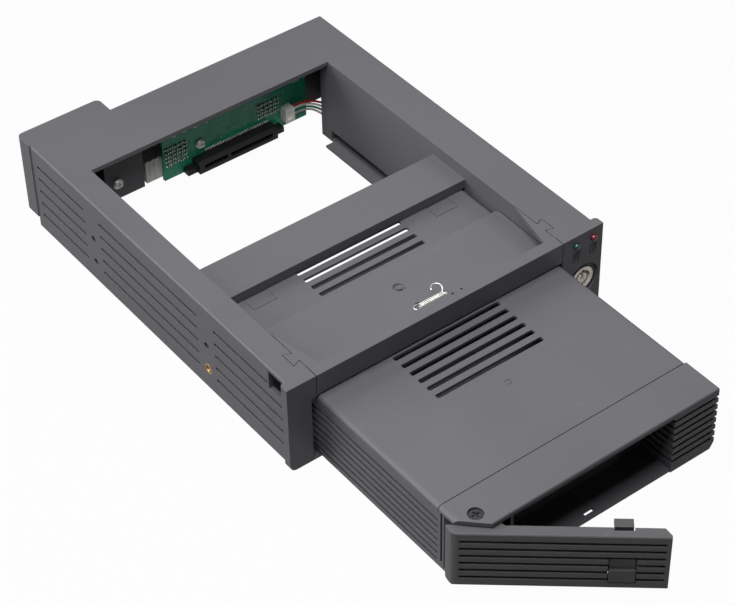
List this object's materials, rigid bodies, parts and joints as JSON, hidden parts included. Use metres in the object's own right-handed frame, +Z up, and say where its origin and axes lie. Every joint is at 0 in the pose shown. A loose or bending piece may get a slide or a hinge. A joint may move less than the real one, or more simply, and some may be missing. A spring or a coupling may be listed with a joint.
{
  "type": "mobile drive rack",
  "caption": "Mobile rack for a hard drive: a plastic bay frame with key lock, lamps, dust flap and rear ports, and a slotted tray with a sliding cover and swing handle.",
  "frame": {"origin": "middle of the housing's width between its side faces, at the back face of the bezel, on the bottom", "axes": "+X to the lock's side, +Y from the bezel to the rear wall, +Z up"},
  "size_m": [0.1504, 0.3171, 0.0414],
  "materials": {
    "frame_plastic": "satin moulded charcoal ABS",
    "bridge_plastic": "satin moulded charcoal ABS",
    "flap_plastic": "satin moulded charcoal ABS",
    "tray_plastic": "satin moulded charcoal ABS",
    "cover_plastic": "fine textured charcoal ABS",
    "handle_plastic": "satin moulded charcoal ABS",
    "latch_plastic": "satin moulded charcoal ABS",
    "bright_steel": "turned bright steel",
    "plated_steel": "zinc plated steel",
    "black_steel": "black oxide steel",
    "spring_wire": "bright drawn spring wire",
    "lock_chrome": "bright chrome plate",
    "green_lens": "tinted clear epoxy",
    "red_lens": "tinted clear epoxy",
    "lead_red": "soft vinyl insulation",
    "lead_white": "soft vinyl insulation",
    "lead_green": "soft vinyl insulation",
    "lead_grey": "soft vinyl insulation",
    "white_nylon": "natural moulded nylon",
    "board_mask": "green solder mask over glass fibre",
    "chip_black": "moulded parts with tinned ends",
    "socket_black": "moulded black connector plastic",
    "contact_gold": "flash gold plate",
    "brass": "turned and knurled brass"
  },
  "bodies": {
    "bay": {"bay_frame": "frame_plastic", "front_bridge": "bridge_plastic", "flap_hinge_pin": "bright_steel", "flap_spring": "spring_wire", "spring_post": "bright_steel", "lock_barrel": "lock_chrome", "lock_clip": "plated_steel", "lamp_green": "green_lens", "lamp_red": "red_lens", "lead_red": "lead_red", "lead_white": "lead_white", "lead_green": "lead_green", "lead_grey": "lead_grey", "lamp_plug": "white_nylon", "circuit_board": "board_mask", "board_parts": "chip_black", "board_screws": "bright_steel", "drive_socket": "socket_black", "drive_socket_contacts": "contact_gold", "power_port": "white_nylon", "power_port_pins": "contact_gold", "data_port": "socket_black", "data_port_contacts": "contact_gold", "corner_screw": "bright_steel", "brass_inserts": "brass"},
    "flap": {"dust_flap": "flap_plastic"},
    "tray": {"tray_base": "tray_plastic", "pivot_screw": "black_steel"},
    "cover": {"tray_cover": "cover_plastic"},
    "swing_handle": {"handle": "handle_plastic", "latch_pin": "bright_steel"},
    "latch": {"handle_latch": "latch_plastic"},
    "lock": {"lock_plug": "lock_chrome", "lock_cam": "plated_steel", "cam_screw": "plated_steel"}
  },
  "joints": [
    {"name": "tray_slide", "type": "slide", "parent": "bay", "child": "tray", "axis": [0, -1, 0], "range_m": [-0.0868, 0.06]},
    {"name": "cover_slide", "type": "slide", "parent": "tray", "child": "cover", "axis": [0, 1, 0], "range_m": [0, 0.02]},
    {"name": "handle_swing", "type": "hinge", "parent": "tray", "child": "swing_handle", "pos_m": [-0.0534, -0.084, 0.015], "axis": [0, 0, -1], "range_deg": [-39.7, 15]},
    {"name": "latch_press", "type": "hinge", "parent": "swing_handle", "child": "latch", "pos_m": [-0.01571, -0.11782, 0.0175], "axis": [0.7694, -0.6388, 0], "range_deg": [0, 5], "stiffness_Nm_per_rad": 0.02, "springref_deg": -5.73},
    {"name": "flap_hinge", "type": "hinge", "parent": "bay", "child": "flap", "pos_m": [0, 0.0029, 0.0329], "axis": [1, 0, 0], "range_deg": [0, 10], "stiffness_Nm_per_rad": 0.003, "springref_deg": -74.48},
    {"name": "lock_turn", "type": "hinge", "parent": "bay", "child": "lock", "pos_m": [0.0663, 0, 0.0174], "axis": [0, -1, 0], "range_deg": [0, 90]}
  ]
}
